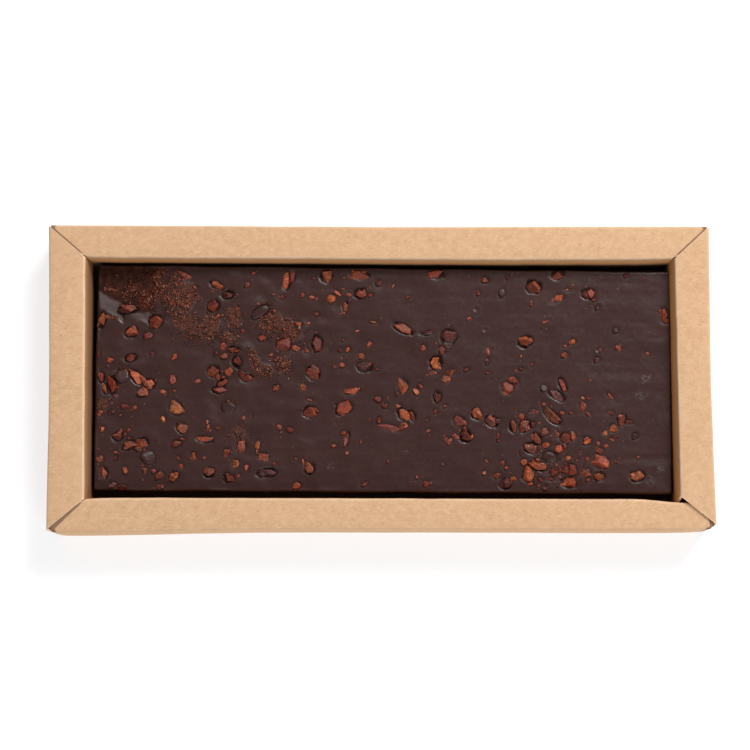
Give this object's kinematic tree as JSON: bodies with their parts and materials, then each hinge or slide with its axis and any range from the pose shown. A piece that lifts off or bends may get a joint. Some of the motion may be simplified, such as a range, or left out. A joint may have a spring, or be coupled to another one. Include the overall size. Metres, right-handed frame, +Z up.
{
  "type": "chocolate bar in card case",
  "caption": "Dark chocolate slab with cocoa nibs set in its poured face, lying in a shallow open case folded from kraft card with wide mitred rims.",
  "frame": {"origin": "on the table, under the middle of the case's bounding box", "axes": "+X along the bar to the right as shown, +Y to the back, +Z up out of the poured face"},
  "size_m": [0.1806, 0.0838, 0.0161],
  "materials": {
    "dark_chocolate": "satin chocolate with orange-brown cocoa nibs",
    "kraft_card": "matt unprinted kraft card with fine fibres"
  },
  "bodies": {
    "root": {"chocolate_bar": "dark_chocolate", "card_case": "kraft_card"}
  },
  "joints": []
}
